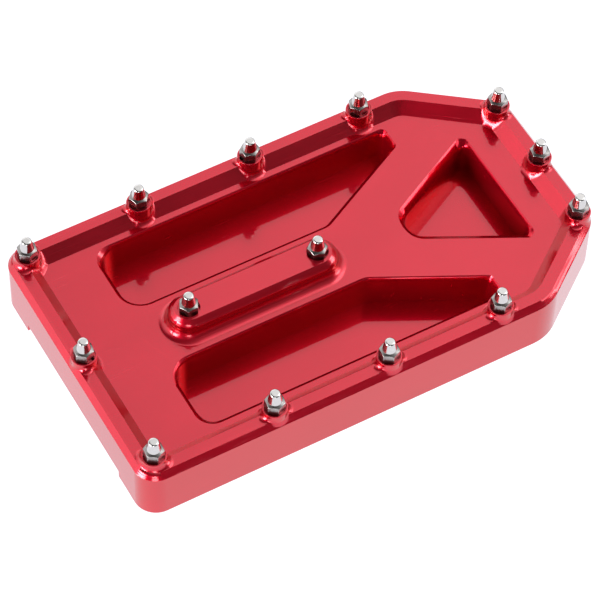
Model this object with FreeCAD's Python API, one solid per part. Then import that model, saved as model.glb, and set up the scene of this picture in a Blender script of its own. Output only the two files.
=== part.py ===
"""Brake pedal pad: a milled aluminium plate with fourteen steel studs.

Millimetres. X runs from the straight end (-) to the pointed end (+), Y across, Z up.
The origin is the middle of the bounding box at the underside.
"""
import FreeCAD
import Part
import math
import os

from FreeCAD import Vector

os.makedirs("parts", exist_ok=True)

# outline
HALF_LENGTH = 61.0
HALF_WIDTH = 34.75
TIP_HALF = 19.11
SHOULDER_RUN = 20.84
SHOULDER_X = HALF_LENGTH - SHOULDER_RUN
END_CORNER = 5.2
SHOULDER_CORNER = 11.0
TIP_CORNER = 6.0

# heights above the underside
RIM_TOP = 14.11
DECK = 11.44
POCKET_FLOOR = 3.2
RECESS_TOP = 2.0

# rim section, as insets from the outer side
EDGE_RUN = 1.10
EDGE_DROP = 1.65
RIM_INNER = 3.80
RIM_FOOT = 6.32

# bosses on the rim
BOSS_TOP = 15.8
BOSS_RADIUS = 2.85
SIDE_INSET = 3.30
END_INSET = 3.34
TIP_INSET = 3.03
CORNER_INSET = 4.65
TIP_CORNER_INSET = 3.54
TIP_CORNER_DROP = 1.65
FIRST_SIDE_BOSS = 33.15
SIDE_PITCH = 28.28

# screw-in studs
SEAT_RADIUS = 2.55
SEAT_HEIGHT = 15.4
TAP_RADIUS = 1.50
TAP_DEPTH = 6.0
SHANK_RADIUS = 1.46
SHANK_LENGTH = 5.0
HEX_FLATS = 4.1
HEX_HEIGHT = 2.7
CONE_FOOT = 1.75
CONE_TIP = 1.15
STUD_TOP = 21.0

# island, the raised bar on the deck
ISLAND_FIRST = 29.04
ISLAND_LENGTH = 32.23
ISLAND_LEFT = ISLAND_FIRST - HALF_LENGTH
ISLAND_RIGHT = ISLAND_LEFT + ISLAND_LENGTH
ISLAND_TOP = 16.4
ISLAND_ROOT_RADIUS = 2.6
ISLAND_ROOT_DIP = 0.03
ISLAND_WALL_HALF = 4.6
ISLAND_TOP_HALF = 3.3

# pockets in the deck
POCKET_START = 18.4
POCKET_END = 7.06
POCKET_SIDE = 7.80
POCKET_WEB = 8.0
POCKET_END_WALL = 6.05
ARM_SLOPE = 0.514
POCKET_EDGE = 0.85
TRIANGLE_END = 12.9
TRIANGLE_MARGIN = 2.42
TRIANGLE_SLOPE = 0.52

# recess and tapped holes in the underside
RECESS_HALF = 22.0
RECESS_END = 23.0
RECESS_CORNER = 6.0
BOLT_MIDDLE = -14.0
BOLT_SPACING = 50.0
BOLT_TAP_RADIUS = 2.5
BOLT_DEPTH = 8.0


def outline(inset, radii):
    """Closed wire of the six-sided outline moved inwards, with rounded corners."""
    corners = [(-HALF_LENGTH, -HALF_WIDTH), (SHOULDER_X, -HALF_WIDTH), (HALF_LENGTH, -TIP_HALF),
               (HALF_LENGTH, TIP_HALF), (SHOULDER_X, HALF_WIDTH), (-HALF_LENGTH, HALF_WIDTH)]
    kinds = ["end", "shoulder", "tip", "tip", "shoulder", "end"]
    moved = offset_polygon(corners, inset)
    return rounded_wire(moved, [radii[k] for k in kinds])


def offset_polygon(corners, inset):
    """Corner points of a counter-clockwise polygon whose sides have moved inwards."""
    count = len(corners)
    lines = []
    for i in range(count):
        x0, y0 = corners[i]
        x1, y1 = corners[(i + 1) % count]
        length = math.hypot(x1 - x0, y1 - y0)
        dx, dy = (x1 - x0) / length, (y1 - y0) / length
        lines.append((x0 - dy * inset, y0 + dx * inset, dx, dy))
    moved = []
    for i in range(count):
        ax, ay, adx, ady = lines[i - 1]
        bx, by, bdx, bdy = lines[i]
        cross = adx * bdy - ady * bdx
        t = ((bx - ax) * bdy - (by - ay) * bdx) / cross
        moved.append((ax + adx * t, ay + ady * t))
    return moved


def rounded_wire(corners, radii, z=0.0):
    """Wire of straight sides joined by tangent arcs, one arc at each corner."""
    count = len(corners)
    spans = []
    for i in range(count):
        before = Vector(corners[i - 1][0], corners[i - 1][1], z)
        here = Vector(corners[i][0], corners[i][1], z)
        after = Vector(corners[(i + 1) % count][0], corners[(i + 1) % count][1], z)
        back = (before - here).normalize()
        ahead = (after - here).normalize()
        half = back.getAngle(ahead) / 2
        reach = radii[i] / math.tan(half)
        middle = (back + ahead).normalize()
        centre = here + middle * (radii[i] / math.sin(half))
        spans.append((here + back * reach, centre - middle * radii[i], here + ahead * reach))
    edges = []
    for i in range(count):
        start, middle, end = spans[i]
        edges.append(Part.Arc(start, middle, end).toShape())
        edges.append(Part.makeLine(end, spans[(i + 1) % count][0]))
    return Part.Wire(edges)


def prism(wire, low, high):
    """Straight prism of a flat wire drawn at height zero."""
    base = wire.copy()
    base.translate(Vector(0, 0, low))
    return Part.Face(base).extrude(Vector(0, 0, high - low))


def taper(low_wire, low, high_wire, high):
    """Solid between two matching wires, with flat and conical sides."""
    bottom = low_wire.copy()
    bottom.translate(Vector(0, 0, low))
    top = high_wire.copy()
    top.translate(Vector(0, 0, high))
    return Part.makeLoft([bottom, top], True, True)


def radii_at(inset):
    """Corner radii at an inset, concentric with the outer or the inner corners."""
    if inset < 2.0:
        return {"end": END_CORNER - inset, "shoulder": SHOULDER_CORNER - inset, "tip": TIP_CORNER - inset}
    foot = RIM_FOOT - inset
    return {"end": 1.2 + foot, "shoulder": 4.5 + foot, "tip": 1.5 + foot}


def island():
    """Raised bar: flat top, bevel, upright wall and a hollow rounding at its root.

    Half of its section is turned about each end and the whole section is drawn along between
    them. The rounding's lowest point is a little under the deck, so that it meets the deck at
    a small angle.
    """
    bevel = ISLAND_WALL_HALF - ISLAND_TOP_HALF
    buried = DECK - 0.5
    centre_r = ISLAND_WALL_HALF + ISLAND_ROOT_RADIUS
    centre_z = DECK - ISLAND_ROOT_DIP + ISLAND_ROOT_RADIUS
    slant = ISLAND_ROOT_RADIUS * math.sqrt(0.5)
    foot = Vector(centre_r, 0, DECK - ISLAND_ROOT_DIP)
    halfway = Vector(centre_r - slant, 0, centre_z - slant)
    wall_foot = Vector(ISLAND_WALL_HALF, 0, centre_z)
    wall_top = Vector(ISLAND_WALL_HALF, 0, ISLAND_TOP - bevel)
    top_edge = Vector(ISLAND_TOP_HALF, 0, ISLAND_TOP)
    edges = [Part.makeLine(Vector(0, 0, buried), Vector(centre_r, 0, buried)),
             Part.makeLine(Vector(centre_r, 0, buried), foot),
             Part.Arc(foot, halfway, wall_foot).toShape(),
             Part.makeLine(wall_foot, wall_top),
             Part.makeLine(wall_top, top_edge),
             Part.makeLine(top_edge, Vector(0, 0, ISLAND_TOP)),
             Part.makeLine(Vector(0, 0, ISLAND_TOP), Vector(0, 0, buried))]
    half = Part.Face(Part.Wire(edges))
    near = half.copy()
    near.rotate(Vector(0, 0, 0), Vector(0, 0, 1), -90)
    near.translate(Vector(ISLAND_LEFT, 0, 0))
    far = half.copy()
    far.rotate(Vector(0, 0, 0), Vector(0, 0, 1), 90)
    far.translate(Vector(ISLAND_LEFT, 0, 0))
    along = Vector(ISLAND_LENGTH, 0, 0)
    bar = near.extrude(along).fuse(far.extrude(along))
    left_end = near.revolve(Vector(ISLAND_LEFT, 0, 0), Vector(0, 0, 1), -180)
    right_end = near.copy()
    right_end.translate(along)
    right_end = right_end.revolve(Vector(ISLAND_RIGHT, 0, 0), Vector(0, 0, 1), 180)
    return bar.fuse(left_end).fuse(right_end)


def boss(x, y):
    """Round boss that stands through the rim and down to the deck."""
    return Part.makeCylinder(BOSS_RADIUS, BOSS_TOP - DECK / 2, Vector(x, y, DECK / 2))


def pocket(corners, radii, edge):
    """Pocket tool with a broken top edge, from the floor to above the rim."""
    inner = prism(rounded_wire(corners, radii), POCKET_FLOOR, DECK + 0.01)
    wide = offset_polygon(corners, -edge)
    lip = taper(rounded_wire(corners, radii), DECK - edge,
                rounded_wire(wide, [r + edge for r in radii]), DECK)
    above = prism(rounded_wire(wide, [r + edge for r in radii]), DECK, DECK + 0.5)
    return inner.fuse(lip).fuse(above)


def mirrored(corners):
    """The same polygon on the other side of the centreline, still counter-clockwise."""
    return [(x, -y) for x, y in reversed(corners)]


# places of the studs, in order round the rim from the far corner of the straight end
side_y = HALF_WIDTH - SIDE_INSET
side_x = [FIRST_SIDE_BOSS - HALF_LENGTH + SIDE_PITCH * k for k in range(3)]
end_corner = (CORNER_INSET - HALF_LENGTH, HALF_WIDTH - CORNER_INSET)
tip_corner = (HALF_LENGTH - TIP_CORNER_INSET, TIP_HALF - TIP_CORNER_DROP)
rim_studs = [end_corner] + [(x, side_y) for x in side_x] + [tip_corner]
rim_studs += [(HALF_LENGTH - TIP_INSET, 0.0)]
rim_studs += [(tip_corner[0], -tip_corner[1])] + [(x, -side_y) for x in reversed(side_x)]
rim_studs += [(end_corner[0], -end_corner[1]), (END_INSET - HALF_LENGTH, 0.0)]
island_studs = [(ISLAND_LEFT, 0.0), (ISLAND_RIGHT, 0.0)]

# plate with its outer edge bevelled
plate = prism(outline(0.0, radii_at(0.0)), 0.0, RIM_TOP - EDGE_DROP)
plate = plate.fuse(taper(outline(0.0, radii_at(0.0)), RIM_TOP - EDGE_DROP,
                         outline(EDGE_RUN, radii_at(EDGE_RUN)), RIM_TOP))

# hollow inside the rim
hollow = taper(outline(RIM_FOOT, radii_at(RIM_FOOT)), DECK,
               outline(RIM_INNER, radii_at(RIM_INNER)), RIM_TOP)
hollow = hollow.fuse(prism(outline(RIM_INNER, radii_at(RIM_INNER)), RIM_TOP, RIM_TOP + 1.0))
body = plate.cut(hollow)

# bosses
for x, y in rim_studs:
    body = body.fuse(boss(x, y))

# the raised bar on the deck
body = body.fuse(island())

# two long pockets with a slanted arm, and the triangle between them
start = POCKET_START - HALF_LENGTH
end = SHOULDER_X - POCKET_END
side = HALF_WIDTH - POCKET_SIDE
arm_end = side - POCKET_END_WALL
arm_start = end - (arm_end - POCKET_WEB) / ARM_SLOPE
side_pocket = offset_polygon([(start, POCKET_WEB), (arm_start, POCKET_WEB), (end, arm_end),
                              (end, side), (start, side)], POCKET_EDGE)
side_radii = [5.0, 3.0, 2.0, 2.0, 5.0]
triangle_end = HALF_LENGTH - TRIANGLE_END
triangle_half = TIP_HALF - TRIANGLE_MARGIN
triangle_start = triangle_end - triangle_half / TRIANGLE_SLOPE
triangle = offset_polygon([(triangle_start, 0.0), (triangle_end, -triangle_half),
                           (triangle_end, triangle_half)], POCKET_EDGE)
body = body.cut(pocket(side_pocket, side_radii, POCKET_EDGE))
body = body.cut(pocket(mirrored(side_pocket), list(reversed(side_radii)), POCKET_EDGE))
body = body.cut(pocket(triangle, [4.7, 2.0, 2.0], POCKET_EDGE))

# stud holes with a round seat
for x, y in rim_studs + island_studs:
    body = body.cut(Part.makeCylinder(SEAT_RADIUS, ISLAND_TOP - SEAT_HEIGHT + 1.0, Vector(x, y, SEAT_HEIGHT)))
    body = body.cut(Part.makeCylinder(TAP_RADIUS, TAP_DEPTH, Vector(x, y, SEAT_HEIGHT - TAP_DEPTH)))

# recess under the plate, open at the straight end, and two tapped holes in it
outside = HALF_LENGTH + 2 * RECESS_CORNER
recess = rounded_wire([(-outside, -RECESS_HALF), (HALF_LENGTH - RECESS_END, -RECESS_HALF),
                       (HALF_LENGTH - RECESS_END, RECESS_HALF), (-outside, RECESS_HALF)],
                      [1.0, RECESS_CORNER, RECESS_CORNER, 1.0])
body = body.cut(prism(recess, -1.0, RECESS_TOP))
for x in (BOLT_MIDDLE - BOLT_SPACING / 2, BOLT_MIDDLE + BOLT_SPACING / 2):
    body = body.cut(Part.makeCylinder(BOLT_TAP_RADIUS, BOLT_DEPTH, Vector(x, 0, RECESS_TOP)))

body = body.removeSplitter()
print("body", body.isValid(), len(body.Solids), len(body.Faces), round(body.Volume, 1))
body.Solids[0].exportStep("parts/pad_body.step")


def stud(x, y, angle):
    """Screw-in stud: plain shank, hexagon foot and blunt cone."""
    across = HEX_FLATS / math.sqrt(3.0)
    points = []
    for i in range(7):
        a = math.radians(angle + 60.0 * i)
        points.append(Vector(x + across * math.cos(a), y + across * math.sin(a), SEAT_HEIGHT))
    hexagon = Part.Face(Part.makePolygon(points)).extrude(Vector(0, 0, HEX_HEIGHT))
    cone_foot = SEAT_HEIGHT + HEX_HEIGHT
    cone = Part.makeCone(CONE_FOOT, CONE_TIP, STUD_TOP - cone_foot, Vector(x, y, cone_foot))
    shank = Part.makeCylinder(SHANK_RADIUS, SHANK_LENGTH, Vector(x, y, SEAT_HEIGHT - SHANK_LENGTH))
    return hexagon.fuse(cone).fuse(shank).removeSplitter()


# how far each hexagon is turned, in degrees
rim_turns = [20, 50, 35, 10, 20, 20, 22, 80, 85, 22, 25, 20]
island_turns = [62, 40]
for i, (x, y) in enumerate(rim_studs):
    stud(x, y, rim_turns[i]).exportStep("parts/rim_stud_%02d.step" % (i + 1))
for i, (x, y) in enumerate(island_studs):
    stud(x, y, island_turns[i]).exportStep("parts/island_stud_%d.step" % (i + 1))
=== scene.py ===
"""Brake pedal pad: red anodised plate with fourteen polished steel studs, on a pale table.

Metres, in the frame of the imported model: X along the pad, Y across it, Z up.
"""
import math

import bmesh
import bpy
import numpy as np
from mathutils import Matrix, Vector


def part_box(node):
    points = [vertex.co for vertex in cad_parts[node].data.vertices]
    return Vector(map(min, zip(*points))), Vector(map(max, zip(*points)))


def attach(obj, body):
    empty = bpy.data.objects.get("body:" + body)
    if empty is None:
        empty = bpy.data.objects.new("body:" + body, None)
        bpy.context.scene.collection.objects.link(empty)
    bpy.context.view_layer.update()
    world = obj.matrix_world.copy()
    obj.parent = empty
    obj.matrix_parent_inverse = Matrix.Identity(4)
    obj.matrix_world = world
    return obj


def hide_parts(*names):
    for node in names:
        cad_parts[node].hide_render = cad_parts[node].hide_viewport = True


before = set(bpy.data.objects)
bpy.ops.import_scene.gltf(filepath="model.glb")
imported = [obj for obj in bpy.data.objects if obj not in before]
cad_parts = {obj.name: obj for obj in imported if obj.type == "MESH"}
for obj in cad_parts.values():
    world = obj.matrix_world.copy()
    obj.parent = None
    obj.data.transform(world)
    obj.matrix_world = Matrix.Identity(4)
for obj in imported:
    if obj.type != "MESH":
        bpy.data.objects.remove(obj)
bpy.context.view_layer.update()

MM = 0.001

# plate outline, millimetres
HALF_LENGTH = 61.0
HALF_WIDTH = 34.75
TIP_HALF = 19.11
SHOULDER_X = HALF_LENGTH - 20.84
SHOULDER_SLOPE = (HALF_WIDTH - TIP_HALF) / (HALF_LENGTH - SHOULDER_X)

# rim section, millimetres: levels, and insets from the outer side
RIM_TOP = 14.11
DECK = 11.44
EDGE_RUN = 1.10
EDGE_DROP = 1.65
RIM_INNER = 3.80
RIM_FOOT = 6.32

# corner radii at the straight end, the shoulders and the tip: of the outer side and of the rim's foot
OUTER_CORNERS = (5.2, 11.0, 6.0)
FOOT_CORNERS = (1.2, 4.5, 1.5)

# corners of a long pocket and of the triangular pocket, millimetres
LONG_START = (-42.6, 8.0)
LONG_BEND = (8.0, 8.0)
LONG_ARM = (33.1, 20.9)
LONG_END = (33.1, 26.95)
LONG_BACK = (-42.6, 26.95)
TRIANGLE_POINT = (16.0, 0.0)
TRIANGLE_FAR = (48.1, 16.69)
TRIANGLE_NEAR = (48.1, -16.69)

# radii of the pockets' corners in the solid, and the smaller ones of the visible bevel
POINT_RADIUS = 5.55
WIDE_RADIUS = 5.85
SMALL_RADIUS = 2.85
WIDE_TIGHTENED = 4.4
SMALL_TIGHTENED = 1.5

# pocket bevel: run, drop, extra drop in a corner's middle, and shifts of the triangle's slanted sides
POCKET_EDGE = 0.85
POCKET_DROP = 0.65
CORNER_DROP = 0.75
TRIANGLE_OUT = 0.42
TRIANGLE_IN = 0.50
TRIANGLE_DOWN = 0.80
ON_SURFACE = 0.03

# bosses, millimetres
COLLAR_RADIUS = 2.88
COLLAR_TOP = 15.82
SEAT_LEVEL = 15.4
SEAT_RADIUS = 2.52
BURIED_RADIUS = 2.70
ROOT_BALL = 1.4
ROOT_BALL_LEAST = 1.3
ROOT_BALL_GAIN = 0.55
BARE_WALL = 0.15
OFF_SIDE = 0.03

# studs, millimetres
STUD_TOP = 21.0
SHANK_DEPTH = 5.0
SHANK_RADIUS = 1.46
THREAD_PITCH = 0.5
THREAD_DEPTH = 0.16
NECK_RADIUS = 1.3
FACE_RADIUS = 1.9
HEX_HALF = 2.05
HEX_HEIGHT = 2.95
HEX_SOFTNESS = 0.03
CONE_FOOT = 1.62
CONE_TOP = 1.20
TIP_ROUNDING = 0.42
TIP_FLAT = 0.48
AXIS = 0.001

# turn of each hexagon, degrees
RIM_TURNS = [20, 50, 35, 10, 20, 20, 22, 80, 85, 22, 25, 20]
ISLAND_TURNS = [62, 40]

# camera: aim point, distance, direction, lens and shift of the frame
AIM = Vector((-14.57, -0.764, 7.0)) * MM
DISTANCE = 718.787 * MM
TURN = math.radians(29.539)
RISE = math.radians(54.097)
ROLL = math.radians(0.931)
SENSOR = 36.0
LENS = 194.11
SHIFT = (0.06697, 0.00778)


# mesh helpers

def new_piece(name, points, faces, material, node=None, smooth=30.0):
    """Mesh object from an array of points in millimetres and an array of faces."""
    mesh = bpy.data.meshes.new(name)
    mesh.from_pydata((np.asarray(points) * MM).tolist(), [], np.asarray(faces).tolist())
    mesh.validate()
    mesh.shade_smooth()
    mesh.set_sharp_from_angle(angle=math.radians(smooth))
    mesh.materials.append(material)
    piece = bpy.data.objects.new(name, mesh)
    bpy.context.scene.collection.objects.link(piece)
    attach(piece, "root")
    if node:
        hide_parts(node)
    return piece


def grid_faces(rows, columns, close_rows=False, close_columns=False):
    """Quads of a grid of points stored row by row, with either direction closed into a ring."""
    i = np.arange(rows if close_rows else rows - 1)
    j = np.arange(columns if close_columns else columns - 1)
    i, j = np.meshgrid(i, j, indexing="ij")
    up = (i + 1) % rows
    across = (j + 1) % columns
    quads = [i * columns + j, i * columns + across, up * columns + across, up * columns + j]
    return np.stack(quads, axis=-1).reshape(-1, 4)


def weighted(piece):
    """Normals weighted by face area, so flats stay flat beside tangent curves."""
    change = piece.modifiers.new("area normals", "WEIGHTED_NORMAL")
    change.mode = "FACE_AREA"
    change.keep_sharp = True
    change.weight = 100


# the plate

def inset_of(x, y, corners, level):
    """Distance inwards from the outer side, for the family of outlines whose corner radii are
    given at the inset called level: distance to the nearest side, and near a corner the
    distance from the corner's centre taken from the centre's own inset."""
    points = np.array([(-HALF_LENGTH, -HALF_WIDTH), (SHOULDER_X, -HALF_WIDTH), (HALF_LENGTH, -TIP_HALF),
                       (HALF_LENGTH, TIP_HALF), (SHOULDER_X, HALF_WIDTH), (-HALF_LENGTH, HALF_WIDTH)])
    kinds = [0, 1, 2, 2, 1, 0]
    along = np.roll(points, -1, axis=0) - points
    along /= np.linalg.norm(along, axis=1)[:, None]
    inward = np.stack([-along[:, 1], along[:, 0]], axis=1)
    p = np.stack([x, y], axis=-1)[..., None, :]
    inset = ((p - points) * inward).sum(-1).min(-1)
    for k, kind in enumerate(kinds):
        centre_inset = level + corners[kind]
        sides = np.array([inward[k - 1], inward[k]])
        centre = points[k] + np.linalg.solve(sides, np.full(2, centre_inset))
        away = np.stack([x, y], axis=-1) - centre
        before = (away * along[k - 1]).sum(-1)
        after = -(away * along[k]).sum(-1)
        sector = (before > 0) & (after > 0)
        inset = np.where(sector, centre_inset - np.linalg.norm(away, axis=-1), inset)
    return inset


def ground(x, y):
    """Height of the plate without bosses: rim top, dropping at the outer bevel and down the
    inner slope to the deck, each a straight line in the inset."""
    outer = inset_of(x, y, OUTER_CORNERS, 0.0)
    inner = inset_of(x, y, FOOT_CORNERS, RIM_FOOT)
    bevel = RIM_TOP - np.clip(EDGE_RUN - outer, 0.0, EDGE_RUN) * EDGE_DROP / EDGE_RUN
    share = np.clip((inner - RIM_INNER) / (RIM_FOOT - RIM_INNER), 0.0, 1.0)
    return np.minimum(bevel, RIM_TOP + (DECK - RIM_TOP) * share)


def smoothed(values, reach):
    """Mean of each value in a ring and its neighbours up to a reach on both sides, taken twice."""
    for _ in range(2):
        values = np.mean([np.roll(values, k) for k in range(-reach, reach + 1)], axis=0)
    return values


def boss_collar(name, x0, y0, material):
    """Skin of one boss: seat lip, upright wall and the hollow rounding at its root.

    In each upright plane through the boss's axis a ball rolls down the wall until it meets the
    ground: its centre's height is the greatest of the ground's height plus the half chord of
    the ball above it. The ball grows with the ground's height, as far as the wall above it
    allows. The rounding is the ball's arc from the wall to where it touches the ground, cut off
    at the plate's outer side; the rest of the closed section is buried.
    """
    turns = 144
    steps = 14
    samples = 500
    angle = np.linspace(0.0, 2 * math.pi, turns, endpoint=False)
    cosine = np.cos(angle)[:, None]
    sine = np.sin(angle)[:, None]

    # radius of the ball at each angle
    beside = COLLAR_RADIUS + ROOT_BALL
    under = ground(x0 + beside * cosine, y0 + beside * sine)[:, 0]
    room = np.maximum(COLLAR_TOP - BARE_WALL - under, ROOT_BALL_LEAST)
    ball = smoothed(np.minimum(ROOT_BALL + ROOT_BALL_GAIN * (under - DECK), room), 4)[:, None]
    middle = COLLAR_RADIUS + ball

    # where the ball touches: the highest lift over the sampled radii, with a parabola through
    # the best sample and its neighbours for the part of a step
    r = COLLAR_RADIUS + 2 * ball * np.linspace(0.0, 1.0, samples)[None, :]
    side = inset_of(x0 + r * cosine, y0 + r * sine, OUTER_CORNERS, 0.0)
    nowhere = -50.0
    level = np.where(side > 0.0, ground(x0 + r * cosine, y0 + r * sine), nowhere)
    lift = level + np.sqrt(np.maximum(ball ** 2 - (r - middle) ** 2, 0.0))
    best = lift.argmax(axis=1)
    rows = np.arange(turns)
    before = lift[rows, np.maximum(best - 1, 0)]
    after = lift[rows, np.minimum(best + 1, samples - 1)]
    bend = before - 2 * lift[rows, best] + after
    shift = np.where(np.abs(bend) > 1e-9, 0.5 * (before - after) / np.where(bend == 0, 1, bend), 0.0)
    shift = np.where(np.abs(shift) < 1.0, shift, 0.0)
    step = r[:, 1] - r[:, 0]
    foot = smoothed(r[rows, best] + shift * step, 8)
    centre = smoothed(lift.max(axis=1), 9)

    # nothing reaches past the plate's outer side
    outside = np.argmax(side < OFF_SIDE, axis=1)
    inner = np.maximum(outside - 1, 0)
    share = (side[rows, inner] - OFF_SIDE) / np.maximum(side[rows, inner] - side[rows, outside], 1e-6)
    limit = r[rows, inner] + share * step
    foot = np.where(outside > 0, np.minimum(foot, limit), foot)

    # the ball's arc, closer together near the wall, with its end set on the ground
    part = np.linspace(0.0, 1.0, steps)[None, :]
    arc_r = COLLAR_RADIUS + (foot - COLLAR_RADIUS)[:, None] * part ** 1.4
    arc_z = centre[:, None] - np.sqrt(np.maximum(ball ** 2 - (arc_r - middle) ** 2, 0.0))
    under = ground(x0 + arc_r[:, -1] * cosine[:, 0], y0 + arc_r[:, -1] * sine[:, 0])
    sunk = 0.005
    arc_z += (under - sunk - arc_z[:, -1])[:, None] * part ** 2

    # seat wall, bevelled lip and the rounded edge at the top of the boss
    lip = [(BURIED_RADIUS, SEAT_LEVEL - 0.4), (SEAT_RADIUS, SEAT_LEVEL - 0.02),
           (SEAT_RADIUS, COLLAR_TOP - 0.05), (SEAT_RADIUS + 0.05, COLLAR_TOP),
           (COLLAR_RADIUS - 0.16, COLLAR_TOP), (COLLAR_RADIUS - 0.06, COLLAR_TOP - 0.03),
           (COLLAR_RADIUS, COLLAR_TOP - 0.12), (COLLAR_RADIUS, COLLAR_TOP - 0.3)]
    lip_r = np.tile([p[0] for p in lip], (turns, 1))
    lip_z = np.tile([p[1] for p in lip], (turns, 1))
    low_r = np.stack([foot, np.full(turns, BURIED_RADIUS)], axis=1)
    low_z = np.stack([under - 0.3, under - 0.5], axis=1)
    rr = np.concatenate([lip_r, arc_r, low_r], axis=1)
    zz = np.concatenate([lip_z, arc_z, low_z], axis=1)
    points = np.stack([x0 + rr * cosine, y0 + rr * sine, zz], axis=-1)
    faces = grid_faces(turns, rr.shape[1], True, True)
    return new_piece(name, points.reshape(-1, 3), faces[:, ::-1], material, None, 35.0)


def corner_middle(before, corner, after):
    """Unit direction from a corner into its middle, and the distance of an arc's centre from the
    corner over the arc's radius: one over the sine of half the corner's angle."""
    corner = np.array(corner)
    first = (np.array(before) - corner) / np.linalg.norm(np.array(before) - corner)
    second = (np.array(after) - corner) / np.linalg.norm(np.array(after) - corner)
    middle = (first + second) / np.linalg.norm(first + second)
    return corner, middle, 1 / math.sqrt(1 - float(first @ middle) ** 2)


def on_bevel(points, depth):
    """Points of a pocket's bevel, from their level and their share of the way down it."""
    level = np.abs(points[:, 2] - DECK + POCKET_DROP * depth) < ON_SURFACE
    return level & (np.abs(depth - 0.5) < 0.54)


def tighten_corner(points, before, corner, after, old, new):
    """Widens the bevel at a pocket's corner, on both halves of the plate, in millimetres.

    The bevel's upper edge moves from the arc of the old radius onto the arc of the new radius
    that touches the same two sides, its foot goes down by a squared cosine of the angle from
    the corner's middle, and points between them move by their share of both."""
    corner, middle, spread = corner_middle(before, corner, after)
    old_centre = corner + middle * old * spread
    new_centre = corner + middle * new * spread
    plan = np.stack([points[:, 0], np.abs(points[:, 1])], axis=1)
    reach = np.linalg.norm(plan - old_centre, axis=1)
    depth = (old - reach) / POCKET_EDGE
    bevel = on_bevel(points, depth) & ((plan - old_centre) @ middle < 0)
    outwards = (plan - old_centre) / reach[:, None]
    moved = (new_centre + outwards * new) * (1 - depth)[:, None]
    moved += (old_centre + outwards * (old - POCKET_EDGE)) * depth[:, None]
    turn = np.arccos(np.clip(-outwards @ middle, -1.0, 1.0))
    share = np.clip(turn / math.acos(1 / spread), 0.0, 1.0)
    lower = CORNER_DROP * np.cos(share * math.pi / 2) ** 2
    half = np.where(points[:, 1] < 0, -1.0, 1.0)
    points[bevel, 0] = moved[bevel, 0]
    points[bevel, 1] = moved[bevel, 1] * half[bevel]
    points[bevel, 2] -= lower[bevel] * depth[bevel]


def widened_side(points):
    """Shift in millimetres that widens the bevel along the triangular pocket's slanted sides.

    Every point of such a side lies on one of two arcs. Its upper edge moves outwards, its foot
    inwards and down, and the wall's foot inwards, by a share that falls from one to nothing
    as the arc turns sixty degrees away from the side."""
    along = np.array(TRIANGLE_FAR) - np.array(TRIANGLE_POINT)
    along /= np.linalg.norm(along)
    outward = np.array([-along[1], along[0]])
    plan = np.stack([points[:, 0], np.abs(points[:, 1])], axis=1)
    half = np.where(points[:, 1] < 0, -1.0, 1.0)
    shift = np.zeros_like(points)
    for before, corner, after, radius in ((TRIANGLE_NEAR, TRIANGLE_POINT, TRIANGLE_FAR, POINT_RADIUS),
                                          (TRIANGLE_POINT, TRIANGLE_FAR, TRIANGLE_NEAR, SMALL_RADIUS)):
        corner, middle, spread = corner_middle(before, corner, after)
        away = plan - (corner + middle * radius * spread)
        reach = np.linalg.norm(away, axis=1)
        depth = (radius - reach) / POCKET_EDGE
        weight = np.clip((away @ outward / reach - 0.5) / 0.5, 0.0, 1.0)
        weight = weight * weight * (3.0 - 2.0 * weight)
        bevel = on_bevel(points, depth)
        wall = (np.abs(depth - 1.0) < 0.04) & (points[:, 2] < DECK - 3.0) & (points[:, 2] > 2.5)
        move = (TRIANGLE_OUT - (TRIANGLE_OUT + TRIANGLE_IN) * depth) * weight * (bevel | wall)
        shift[:, 0] += move * outward[0]
        shift[:, 1] += move * outward[1] * half
        shift[:, 2] -= TRIANGLE_DOWN * depth * weight * bevel
    return shift


def plate(material):
    """The milled plate: the solid's surface with its seams joined, smooth curves, a flatter
    bevel round its pockets and tighter pocket corners."""
    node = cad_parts["pad_body"]
    mesh = node.data.copy()
    mesh.name = "anodised_plate"
    mesh.materials.clear()
    mesh.materials.append(material)
    piece = bpy.data.objects.new("anodised_plate", mesh)
    bpy.context.scene.collection.objects.link(piece)
    work = bmesh.new()
    work.from_mesh(mesh)
    bmesh.ops.remove_doubles(work, verts=work.verts, dist=1e-6)
    bmesh.ops.dissolve_limit(work, angle_limit=math.radians(0.5), verts=work.verts, edges=work.edges)
    work.to_mesh(mesh)
    work.free()
    points = np.empty(3 * len(mesh.vertices), dtype=np.float32)
    mesh.vertices.foreach_get("co", points)
    points = points.reshape(-1, 3) / MM
    for part in (0.5, 1.0):
        lip = np.abs(points[:, 2] - (DECK - POCKET_EDGE * part)) < 0.02
        points[lip, 2] = DECK - POCKET_DROP * part
    shift = widened_side(points)
    tighten_corner(points, LONG_BEND, LONG_ARM, LONG_END, SMALL_RADIUS, SMALL_TIGHTENED)
    tighten_corner(points, LONG_ARM, LONG_END, LONG_BACK, SMALL_RADIUS, SMALL_TIGHTENED)
    tighten_corner(points, LONG_END, LONG_BACK, LONG_START, WIDE_RADIUS, WIDE_TIGHTENED)
    tighten_corner(points, TRIANGLE_POINT, TRIANGLE_FAR, TRIANGLE_NEAR, SMALL_RADIUS, SMALL_TIGHTENED)
    points += shift
    mesh.vertices.foreach_set("co", (points * MM).ravel().astype(np.float32))
    mesh.update()
    mesh.shade_smooth()
    mesh.set_sharp_from_angle(angle=math.radians(20.0))
    weighted(piece)
    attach(piece, "root")
    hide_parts("pad_body")
    return piece


# studs

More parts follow.
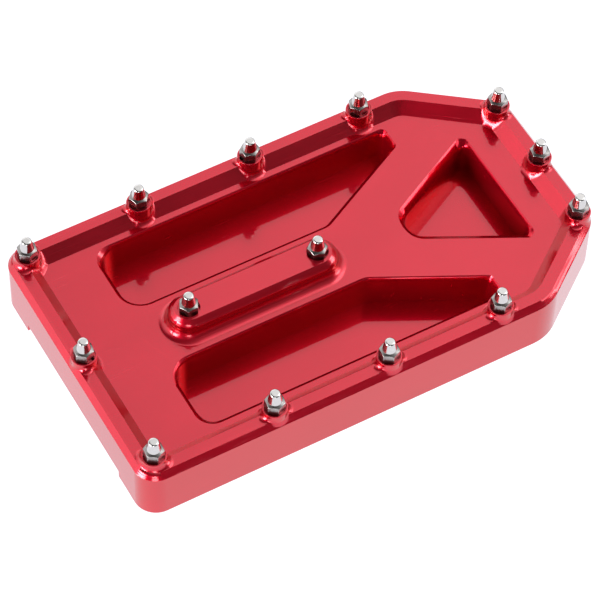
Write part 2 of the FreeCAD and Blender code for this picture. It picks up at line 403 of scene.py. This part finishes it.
def stud(node, x0, y0, turn, material):
    """Turned steel stud: profile radius over height, carried round the axis.

    The hexagon's radius is the flat's distance over the cosine of the angle from the flat's
    middle, cut back by a cone at its upper and lower corners with a soft minimum of the two.
    The shank's radius falls with a triangle wave of height over pitch less angle over a full
    turn, which is the thread.
    """
    sides = 96
    angle = np.arange(sides) * 2 * math.pi / sides
    hexagon = HEX_HALF / np.cos(np.mod(angle, math.pi / 3) - math.pi / 6)
    ring = np.ones(sides)

    # threaded shank, neck and the face that rests on the seat
    rows = [(ring * AXIS, SEAT_LEVEL - SHANK_DEPTH)]
    levels = np.linspace(SEAT_LEVEL - SHANK_DEPTH, SEAT_LEVEL - 0.3, 60)
    wave = np.mod(levels[:, None] / THREAD_PITCH - angle / (2 * math.pi), 1.0)
    depth = np.abs(wave - 0.5) * 2 * THREAD_DEPTH
    for level, cut in zip(levels, depth):
        rows.append((SHANK_RADIUS - cut, level))
    rows.append((ring * NECK_RADIUS, SEAT_LEVEL - 0.1))
    rows.append((ring * NECK_RADIUS, SEAT_LEVEL))
    rows.append((ring * FACE_RADIUS, SEAT_LEVEL))

    # hexagon, its rows given by their drop from its top
    hex_top = SEAT_LEVEL + HEX_HEIGHT
    drops = (HEX_HEIGHT, 2.85, 2.73, 0.66, 0.60, 0.55, 0.50, 0.46, 0.42, 0.38, 0.34, 0.30, 0.26, 0.22,
             0.16, 0.08, 0.0)
    for drop in drops:
        level = hex_top - drop
        upper_cone = CONE_FOOT + drop * 1.55
        lower_cone = FACE_RADIUS + 0.08 + (level - SEAT_LEVEL) * 1.8
        cone = np.minimum(upper_cone, lower_cone)
        both = np.exp(-hexagon / HEX_SOFTNESS) + np.exp(-cone / HEX_SOFTNESS)
        rows.append((-HEX_SOFTNESS * np.log(both), level))

    # cone with a rounded, flat-ended tip
    cone_end = STUD_TOP - TIP_ROUNDING
    for k in range(1, 9):
        share = k / 8
        radius = CONE_FOOT + (CONE_TOP - CONE_FOOT) * share
        rows.append((ring * radius, hex_top + (cone_end - hex_top) * share))
    for k in range(1, 7):
        bend = math.radians(15 * k)
        radius = CONE_TOP - TIP_ROUNDING + TIP_ROUNDING * math.cos(bend)
        rows.append((ring * radius, cone_end + TIP_ROUNDING * math.sin(bend)))
    rows.append((ring * TIP_FLAT, STUD_TOP))
    rows.append((ring * AXIS, STUD_TOP))

    radius = np.array([r for r, z in rows])
    height = np.array([z for r, z in rows])
    spin = angle + math.radians(turn)
    points = np.stack([x0 + radius * np.cos(spin), y0 + radius * np.sin(spin),
                       np.repeat(height[:, None], sides, axis=1)], axis=-1)
    faces = grid_faces(len(rows), sides, False, True)
    return new_piece("turned_" + node, points.reshape(-1, 3), faces, material, node, 32.0)


# materials

def start_material(name):
    """Node material with a Principled shader; returns the material, its nodes, links and shader."""
    material = bpy.data.materials.new(name)
    material.use_nodes = True
    nodes = material.node_tree.nodes
    links = material.node_tree.links
    shader = nodes["Principled BSDF"]
    return material, nodes, links, shader


def math_node(tree, kind, first, second=None, third=None, clamp=False):
    """Math node with its inputs given as numbers or sockets; returns its output socket."""
    node = tree.nodes.new("ShaderNodeMath")
    node.operation = kind
    node.use_clamp = clamp
    for k, value in enumerate((first, second, third)):
        if value is None:
            continue
        if isinstance(value, (int, float)):
            node.inputs[k].default_value = value
        else:
            tree.links.new(value, node.inputs[k])
    return node.outputs["Value"]


def ramp_node(tree, value, low, high, low_out=0.0, high_out=1.0):
    """Smooth step of a value from low to high, mapped to an output range."""
    node = tree.nodes.new("ShaderNodeMapRange")
    node.interpolation_type = "SMOOTHSTEP"
    tree.links.new(value, node.inputs["Value"])
    node.inputs["From Min"].default_value = low
    node.inputs["From Max"].default_value = high
    node.inputs["To Min"].default_value = low_out
    node.inputs["To Max"].default_value = high_out
    return node.outputs["Result"]


def noise_node(tree, place, stretch, detail=2.0, roughness=0.5, turn=(0.0, 0.0, 0.0)):
    """Noise over a place stretched by a factor along each axis; returns its value socket."""
    mapping = tree.nodes.new("ShaderNodeMapping")
    mapping.inputs["Scale"].default_value = stretch
    mapping.inputs["Rotation"].default_value = turn
    tree.links.new(place, mapping.inputs["Vector"])
    node = tree.nodes.new("ShaderNodeTexNoise")
    node.inputs["Scale"].default_value = 1.0
    node.inputs["Detail"].default_value = detail
    node.inputs["Roughness"].default_value = roughness
    tree.links.new(mapping.outputs["Vector"], node.inputs["Vector"])
    return node.outputs["Fac"]


def marks_group():
    """Patches, fine grain and sparse hairline scratches over object coordinates, each 0 to 1."""
    tree = bpy.data.node_groups.new("surface_marks", "ShaderNodeTree")
    for name in ("Patches", "Grain", "Scratches"):
        tree.interface.new_socket(name=name, in_out="OUTPUT", socket_type="NodeSocketFloat")
    out = tree.nodes.new("NodeGroupOutput")
    place = tree.nodes.new("ShaderNodeTexCoord").outputs["Object"]
    patches = noise_node(tree, place, (45.0, 70.0, 70.0), 3.0, 0.6)
    grain = noise_node(tree, place, (1500.0, 1500.0, 1500.0), 2.0, 0.5)
    sparse = ramp_node(tree, noise_node(tree, place, (110.0, 110.0, 110.0), 1.0), 0.52, 0.66)
    lines = None
    for turn, size in ((0.35, 1.0), (-0.6, 1.3), (1.25, 0.8)):
        thin = noise_node(tree, place, (120.0 * size, 6500.0 * size, 900.0), 0.0, 0.5, (0.0, 0.0, turn))
        line = ramp_node(tree, thin, 0.80, 0.88)
        lines = line if lines is None else math_node(tree, "MAXIMUM", lines, line)
    tree.links.new(ramp_node(tree, patches, 0.3, 0.7), out.inputs["Patches"])
    tree.links.new(grain, out.inputs["Grain"])
    tree.links.new(math_node(tree, "MULTIPLY", lines, sparse), out.inputs["Scratches"])
    return tree


def add_marks(tree):
    """The marks group inside a material; returns its three sockets."""
    node = tree.nodes.new("ShaderNodeGroup")
    node.node_tree = marks
    return node.outputs["Patches"], node.outputs["Grain"], node.outputs["Scratches"]


def add_bump(tree, height):
    """Bump of a height in millimetres; returns the normal."""
    bump = tree.nodes.new("ShaderNodeBump")
    bump.inputs["Distance"].default_value = MM
    tree.links.new(height, bump.inputs["Height"])
    return bump.outputs["Normal"]


def add_mix(tree, factor, first, second):
    """Mix of two colours by a factor socket; returns the colour."""
    node = tree.nodes.new("ShaderNodeMix")
    node.data_type = "RGBA"
    node.inputs["A"].default_value = first
    node.inputs["B"].default_value = second
    tree.links.new(factor, node.inputs["Factor"])
    return node.outputs["Result"]


def add_split(tree, vector):
    """The three parts of a vector; returns the sockets of the node that splits it."""
    node = tree.nodes.new("ShaderNodeSeparateXYZ")
    tree.links.new(vector, node.inputs["Vector"])
    return node.outputs


def red_anodised():
    """Red dyed and sealed aluminium: tinted metal under a clear layer, with cutter lines that run
    level along the rim's slopes."""
    material, nodes, links, shader = start_material("red_anodised_aluminium")
    tree = material.node_tree
    patches, grain, scratches = add_marks(tree)

    shade = math_node(tree, "MULTIPLY_ADD", patches, 0.7, math_node(tree, "MULTIPLY", grain, 0.3))
    colour = add_mix(tree, shade, (0.585, 0.003, 0.026, 1.0), (0.630, 0.004, 0.031, 1.0))
    links.new(colour, shader.inputs["Base Color"])

    # slopes: surfaces between flat and upright
    place = nodes.new("ShaderNodeTexCoord").outputs["Object"]
    facing = add_split(tree, nodes.new("ShaderNodeNewGeometry").outputs["True Normal"])
    above = ramp_node(tree, facing["Z"], 0.15, 0.40)
    below = ramp_node(tree, facing["Z"], 0.90, 0.98, 1.0, 0.0)
    slopes = math_node(tree, "MULTIPLY", above, below)

    # inside: the sides of the pockets and of the island, within the rim and below its top
    spot = add_split(tree, place)
    off_x = math_node(tree, "ABSOLUTE", spot["X"])
    off_y = math_node(tree, "ABSOLUTE", spot["Y"])
    slanted = math_node(tree, "MULTIPLY_ADD", off_x, SHOULDER_SLOPE, off_y)
    inside = ramp_node(tree, facing["Z"], 0.93, 0.97, 1.0, 0.0)
    for distance, limit in ((off_y, 27.5), (off_x, 53.0), (slanted, 56.0), (spot["Z"], DECK + 0.4)):
        within = ramp_node(tree, distance, (limit - 1.0) * MM, limit * MM, 1.0, 0.0)
        inside = math_node(tree, "MULTIPLY", inside, within)
    rim = math_node(tree, "SUBTRACT", slopes, inside, None, True)

    # cutter lines: noise drawn out level, on the rim's slopes only
    lines = noise_node(tree, place, (60.0, 60.0, 4200.0), 2.0, 0.6)
    cut = math_node(tree, "MULTIPLY", math_node(tree, "MULTIPLY", lines, rim), 0.035)
    scored = math_node(tree, "MULTIPLY_ADD", scratches, -0.004, cut)
    height = math_node(tree, "MULTIPLY_ADD", grain, 0.0006, scored)
    normal = add_bump(tree, height)
    links.new(normal, shader.inputs["Normal"])
    links.new(normal, shader.inputs["Coat Normal"])

    rough = math_node(tree, "MULTIPLY_ADD", patches, 0.05, 0.215)
    rough = math_node(tree, "MULTIPLY_ADD", rim, 0.10, rough)
    links.new(math_node(tree, "MULTIPLY_ADD", scratches, 0.10, rough), shader.inputs["Roughness"])
    shader.inputs["Metallic"].default_value = 0.75
    shader.inputs["Specular Tint"].default_value = (0.5, 0.1, 0.12, 1.0)

    # clear layer: weaker inside, as painted shade that darkens the pockets' walls and bevels and the
    # island's root
    links.new(math_node(tree, "MULTIPLY_ADD", patches, 0.03, 0.04), shader.inputs["Coat Roughness"])
    links.new(math_node(tree, "MULTIPLY_ADD", inside, -0.65, 1.0), shader.inputs["Coat Weight"])
    shader.inputs["Coat IOR"].default_value = 1.73
    return material


def polished_steel():
    """Turned and polished steel: fine level rings, faint scratches and slightly uneven gloss, with a
    duller machined hexagon whose darker colour is painted shade."""
    material, nodes, links, shader = start_material("polished_steel")
    tree = material.node_tree
    patches, grain, scratches = add_marks(tree)
    place = nodes.new("ShaderNodeTexCoord").outputs["Object"]
    rings = noise_node(tree, place, (40.0, 40.0, 9000.0), 2.0, 0.6)
    height = math_node(tree, "MULTIPLY_ADD", scratches, -0.003, math_node(tree, "MULTIPLY", rings, 0.004))
    links.new(add_bump(tree, height), shader.inputs["Normal"])

    # hexagon mask, one on the hexagon and nothing on the cone: duller gloss for its milled finish, and a
    # darker colour as painted shade
    hex_top = SEAT_LEVEL + HEX_HEIGHT
    level = add_split(tree, place)["Z"]
    milled_and_shaded = ramp_node(tree, level, (hex_top - 0.05) * MM, (hex_top + 0.05) * MM, 1.0, 0.0)
    rough = math_node(tree, "MULTIPLY_ADD", patches, 0.06, 0.11)
    links.new(math_node(tree, "MULTIPLY_ADD", milled_and_shaded, 0.12, rough), shader.inputs["Roughness"])
    # the hexagon's colour is darkened as painted shade; the grain adds a random tone
    tone = math_node(tree, "MULTIPLY_ADD", grain, 0.2, math_node(tree, "MULTIPLY", milled_and_shaded, 0.8))
    colour = add_mix(tree, tone, (0.66, 0.65, 0.64, 1.0), (0.36, 0.34, 0.33, 1.0))
    links.new(colour, shader.inputs["Base Color"])
    shader.inputs["Metallic"].default_value = 1.0
    return material


def table():
    """White table that shines evenly, with a barely uneven tone; what it throws back at the part
    fades away beyond the pad's pointed end."""
    material, nodes, links, shader = start_material("white_table")
    tree = material.node_tree
    place = nodes.new("ShaderNodeTexCoord").outputs["Object"]
    uneven = noise_node(tree, place, (6.0, 6.0, 6.0))
    tone = add_mix(tree, uneven, (0.99, 0.99, 1.04, 1.0), (1.0, 1.0, 1.05, 1.0))
    links.new(tone, shader.inputs["Emission Color"])
    shader.inputs["Base Color"].default_value = (0.0, 0.0, 0.0, 1.0)
    shader.inputs["Roughness"].default_value = 1.0
    shader.inputs["Specular IOR Level"].default_value = 0.0
    shine = 0.98
    near = ramp_node(tree, add_split(tree, place)["X"], 0.10, 0.16, shine, 0.12)
    strength = nodes.new("ShaderNodeMix")
    links.new(nodes.new("ShaderNodeLightPath").outputs["Is Camera Ray"], strength.inputs["Factor"])
    links.new(near, strength.inputs["A"])
    strength.inputs["B"].default_value = shine
    links.new(strength.outputs["Result"], shader.inputs["Emission Strength"])
    return material


# build

marks = marks_group()
red = red_anodised()
steel = polished_steel()
plate(red)


def middle_of(node):
    """Plan position of a node in millimetres."""
    low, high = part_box(node)
    return (low[0] + high[0]) / 2 / MM, (low[1] + high[1]) / 2 / MM


for i, turn in enumerate(RIM_TURNS):
    node = "rim_stud_%02d" % (i + 1)
    x, y = middle_of(node)
    stud(node, x, y, turn, steel)
    boss_collar("boss_collar_%02d" % (i + 1), x, y, red)
for i, turn in enumerate(ISLAND_TURNS):
    node = "island_stud_%d" % (i + 1)
    x, y = middle_of(node)
    stud(node, x, y, turn, steel)

# floor
FLOOR_HALF = 3000
floor_points = np.array([(-1, -1, 0), (1, -1, 0), (1, 1, 0), (-1, 1, 0)]) * FLOOR_HALF
floor_mesh = bpy.data.meshes.new("table_top")
floor_mesh.from_pydata((floor_points * MM).tolist(), [], [(0, 1, 2, 3)])
floor_mesh.materials.append(table())
floor = bpy.data.objects.new("table_top", floor_mesh)
bpy.context.scene.collection.objects.link(floor)


# light

def studio_light():
    """Sky of soft lights: a base plus lobes, each a smooth step in the angle from its direction,
    given as direction, angle of full strength, angle of none, and strength."""
    world = bpy.data.worlds.new("studio")
    bpy.context.scene.world = world
    world.use_nodes = True
    nodes = world.node_tree.nodes
    links = world.node_tree.links
    background = nodes["Background"]
    place = nodes.new("ShaderNodeTexCoord")
    total = None
    base = 0.08
    above_tip = [((0.62, 0.25, 0.74), 12, 52, 0.95),
                 ((0.45, -0.25, 0.86), 5, 50, 0.20),
                 ((0.62, -0.10, 0.78), 8, 24, 1.2)]
    behind = [((0.12, 0.90, 0.40), 8, 32, 1.1),
              ((-0.80, 0.60, 0.05), 20, 55, 0.85)]
    beside_tip = [((0.94, -0.30, 0.10), 10, 40, 0.30)]
    low_strips = [((-0.97, -0.05, 0.20), 9, 24, 9.0),
                  ((-0.48, -0.86, 0.20), 4, 15, 4.0),
                  ((0.90, -0.40, 0.20), 5, 18, 3.5)]
    for direction, inner, outer, strength in above_tip + behind + beside_tip + low_strips:
        facing = nodes.new("ShaderNodeVectorMath")
        facing.operation = "DOT_PRODUCT"
        length = math.sqrt(sum(v * v for v in direction))
        facing.inputs[1].default_value = [v / length for v in direction]
        links.new(place.outputs["Generated"], facing.inputs[0])
        step = nodes.new("ShaderNodeMapRange")
        step.interpolation_type = "SMOOTHSTEP"
        step.inputs["From Min"].default_value = math.cos(math.radians(outer))
        step.inputs["From Max"].default_value = math.cos(math.radians(inner))
        step.inputs["To Max"].default_value = strength
        links.new(facing.outputs["Value"], step.inputs["Value"])
        add = nodes.new("ShaderNodeMath")
        add.operation = "ADD"
        add.inputs[1].default_value = base if total is None else 0.0
        links.new(step.outputs["Result"], add.inputs[0])
        if total is not None:
            links.new(total, add.inputs[1])
        total = add.outputs["Value"]
    links.new(total, background.inputs["Strength"])
    background.inputs["Color"].default_value = (1.0, 1.0, 1.0, 1.0)


studio_light()

# camera

back = Vector((-math.cos(RISE) * math.sin(TURN), -math.cos(RISE) * math.cos(TURN), math.sin(RISE)))
right = Vector((math.cos(TURN), -math.sin(TURN), 0.0))
up = back.cross(right)
right_rolled = right * math.cos(ROLL) + up * math.sin(ROLL)
up_rolled = up * math.cos(ROLL) - right * math.sin(ROLL)
camera = bpy.data.objects.new("camera", bpy.data.cameras.new("camera"))
bpy.context.scene.collection.objects.link(camera)
turned = Matrix((right_rolled, up_rolled, back)).transposed().to_4x4()
turned.translation = AIM + back * DISTANCE
camera.matrix_world = turned
camera.data.sensor_width = SENSOR
camera.data.lens = LENS
camera.data.shift_x, camera.data.shift_y = SHIFT
camera.data.clip_start = 0.05
camera.data.clip_end = 20.0
bpy.context.scene.camera = camera
bpy.context.scene.view_settings.view_transform = "Standard"
bpy.context.scene.view_settings.look = "Medium High Contrast"
